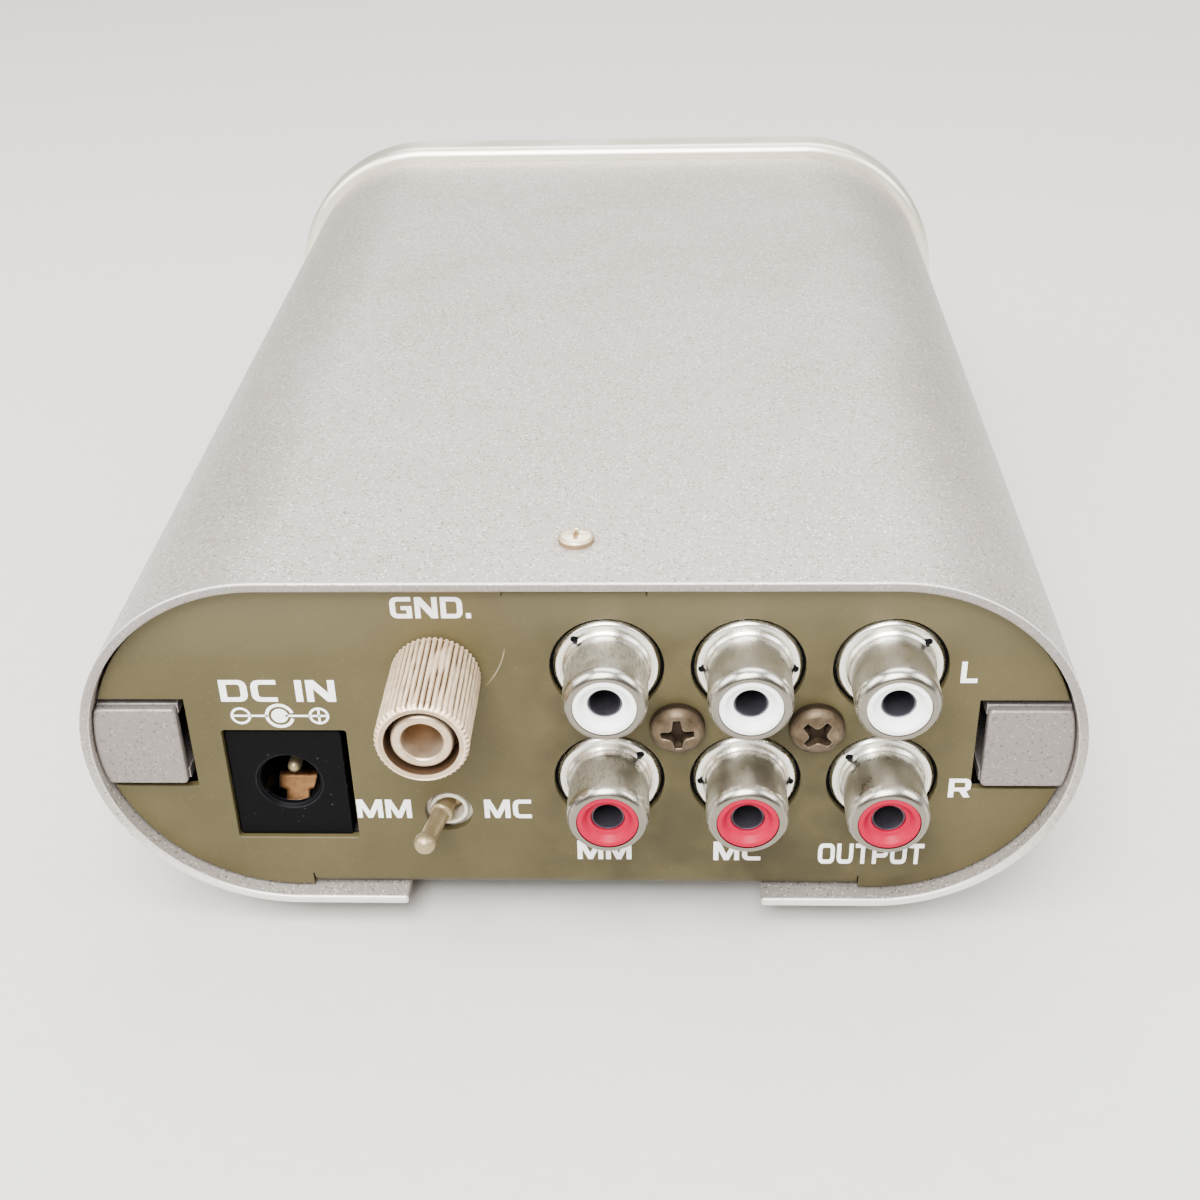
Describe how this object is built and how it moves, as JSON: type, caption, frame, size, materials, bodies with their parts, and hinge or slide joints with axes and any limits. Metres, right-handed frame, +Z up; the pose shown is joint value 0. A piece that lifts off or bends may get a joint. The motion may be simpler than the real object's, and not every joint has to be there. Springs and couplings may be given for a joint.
{
  "type": "phono preamp",
  "caption": "Small phono preamp in a round-sided metal sleeve, with phono jacks, supply socket, ground terminal and toggle switch on its rear panel.",
  "frame": {"origin": "under the feet, at the middle of the whole part's width and length", "axes": "+Z up; -Y is the side of the connector panel, +Y the side of the front plate; +X to the right of someone who faces the connector panel"},
  "size_m": [0.106, 0.1484, 0.0461],
  "materials": {
    "case_paint": "silver-grey textured metallic paint",
    "front_plate": "champagne anodised, satin",
    "tray_plate": "olive-bronze satin finish",
    "nickel": "bright nickel plate",
    "champagne_metal": "champagne plated brass, satin",
    "worn_steel": "tarnished steel",
    "bright_steel": "zinc plated",
    "copper_alloy": "bare brass",
    "bronze": "phosphor bronze",
    "black_plastic": "moulded black",
    "white_plastic": "white moulding",
    "red_plastic": "red moulding",
    "rubber": "matt black rubber",
    "board": "glass epoxy with green mask",
    "can_sleeve": "printed can sleeve",
    "can_green": "printed can sleeve",
    "film_box": "moulded box",
    "dark_metal": "black anodised",
    "resistor_blue": "lacquer",
    "relay_orange": "moulded case",
    "wire_red": "wire insulation",
    "wire_green": "wire insulation",
    "diode_lens": "tinted lens"
  },
  "bodies": {
    "case": {"sleeve": "case_paint", "front_plate": "front_plate", "chassis_tray": "tray_plate", "side_rail_left": "case_paint", "side_rail_right": "case_paint", "sleeve_screw": "champagne_metal", "clinch_nut": "bright_steel", "plate_screws": "bright_steel", "rubber_feet": "rubber", "foot_screws": "bright_steel", "foot_nuts": "bright_steel", "rca_block": "black_plastic", "rca_shells": "nickel", "rca_insulators_white": "white_plastic", "rca_insulators_red": "red_plastic", "rca_contacts_upper": "copper_alloy", "rca_contacts_lower": "copper_alloy", "rca_ground_strap": "bright_steel", "panel_screws": "worn_steel", "dc_jack_body": "black_plastic", "dc_jack_pin": "nickel", "dc_jack_leaf": "bronze", "ground_post": "champagne_metal", "ground_tag": "bright_steel", "ground_lock_washer": "bright_steel", "ground_hex_nut": "nickel", "ground_wire": "wire_green", "toggle_body": "red_plastic", "toggle_bushing": "nickel", "toggle_terminals": "bright_steel", "main_board": "board", "board_standoffs": "copper_alloy", "board_screws": "bright_steel", "reservoir_capacitors": "can_sleeve", "coupling_capacitors": "can_green", "film_capacitors": "film_box", "ic_sockets": "black_plastic", "op_amps": "black_plastic", "regulators": "black_plastic", "heatsinks": "dark_metal", "regulator_screws": "bright_steel", "resistors": "resistor_blue", "mute_relay": "relay_orange", "power_choke": "dark_metal", "led_header": "white_plastic", "led_wires": "wire_red", "power_led": "diode_lens", "light_pipe": "diode_lens"},
    "ground_washer": {"ground_clamp_washer": "nickel"},
    "ground_nut": {"ground_nut": "champagne_metal"},
    "toggle_lever": {"toggle_lever": "nickel"},
    "toggle_rocker": {"toggle_rocker": "copper_alloy"}
  },
  "joints": [
    {"name": "ground_washer_slide", "type": "slide", "parent": "case", "child": "ground_washer", "axis": [0, -1, 0], "range_m": [0, 0.004]},
    {"name": "ground_nut_turn", "type": "hinge", "parent": "ground_washer", "child": "ground_nut", "pos_m": [-0.014, -0.06215, 0.0327], "axis": [0, -1, 0], "range_deg": [0, 1441]},
    {"name": "toggle_tilt", "type": "hinge", "parent": "case", "child": "toggle_lever", "pos_m": [-0.014, -0.05895, 0.01495], "axis": [0, 0, 1], "range_deg": [0, 26]},
    {"name": "toggle_rock", "type": "hinge", "parent": "case", "child": "toggle_rocker", "pos_m": [-0.014, -0.05485, 0.01495], "axis": [0, 0, 1], "range_deg": [-16.05, 0]}
  ],
  "couplings": [
    {"joint": "ground_nut_turn", "follows": "ground_washer_slide", "rad_per_m": 6283.2},
    {"joint": "toggle_rock", "follows": "toggle_tilt", "ratio": -0.61538}
  ]
}
